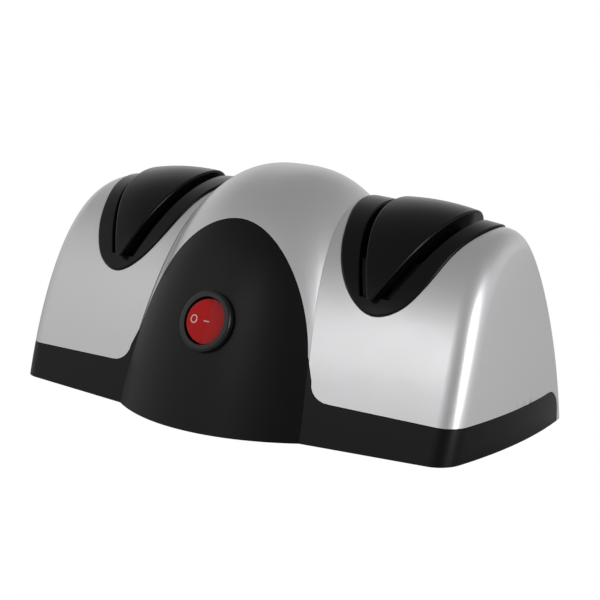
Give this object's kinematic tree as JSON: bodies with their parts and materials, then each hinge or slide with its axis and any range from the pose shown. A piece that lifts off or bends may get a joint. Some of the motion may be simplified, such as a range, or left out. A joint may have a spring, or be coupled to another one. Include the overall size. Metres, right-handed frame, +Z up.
{
  "type": "electric knife sharpener",
  "caption": "Low two-stage electric sharpener: silver domed middle and side hoods, slotted black knife guides over grinding wheels, round rocker switch, black base.",
  "frame": {"origin": "middle of the feet's underside, at the centre of the overall box", "axes": "+X along the body to the right as seen from the switch side, +Y from the front to the back, +Z up"},
  "size_m": [0.2078, 0.104, 0.0896],
  "materials": {
    "silver_shell": "satin metallic",
    "black_shell": "satin",
    "black_guide": "semi-gloss",
    "red_rocker": "gloss",
    "black_switch": "semi-gloss",
    "rubber_foot": "matt",
    "steel_part": "brushed",
    "brass_part": "plain",
    "magnet_iron": "matt",
    "grit_wheel": "abrasive",
    "white_inner": "satin"
  },
  "bodies": {
    "housing": {"base_shell": "black_shell", "bottom_plate": "black_shell", "centre_dome": "silver_shell", "cord_gland": "rubber_foot", "front_brush": "magnet_iron", "left_bush": "brass_part", "left_end_cap": "steel_part", "left_front_foot": "rubber_foot", "left_front_screw": "steel_part", "left_guide_block": "black_guide", "left_hood": "silver_shell", "left_rear_foot": "rubber_foot", "left_rear_screw": "steel_part", "left_rib_cover": "black_guide", "left_switch_terminal": "brass_part", "lower_magnet": "magnet_iron", "motor_can": "steel_part", "motor_cradle": "white_inner", "motor_strap": "steel_part", "rear_brush": "magnet_iron", "right_bush": "brass_part", "right_end_cap": "steel_part", "right_front_foot": "rubber_foot", "right_front_screw": "steel_part", "right_guide_block": "black_guide", "right_hood": "silver_shell", "right_rear_foot": "rubber_foot", "right_rear_screw": "steel_part", "right_rib_cover": "black_guide", "right_switch_terminal": "brass_part", "switch_barrel": "black_switch", "switch_bezel": "black_switch", "upper_magnet": "magnet_iron"},
    "rotor": {"armature": "steel_part", "coarse_wheel": "grit_wheel", "commutator": "brass_part", "cooling_fan": "white_inner", "fine_wheel": "grit_wheel", "left_wheel_hub": "steel_part", "left_wheel_nut": "steel_part", "motor_shaft": "steel_part", "right_wheel_hub": "steel_part", "right_wheel_nut": "steel_part"},
    "rocker": {"switch_rocker": "red_rocker"}
  },
  "joints": [
    {"name": "rotor_spin", "type": "hinge", "parent": "housing", "child": "rotor", "pos_m": [0, 0.0134, 0.0372], "axis": [1, 0, 0], "continuous": true},
    {"name": "rocker_tilt", "type": "hinge", "parent": "housing", "child": "rocker", "pos_m": [0, -0.03643, 0.03839], "axis": [0, 0.3915, 0.9202], "range_deg": [-18, 0]}
  ]
}
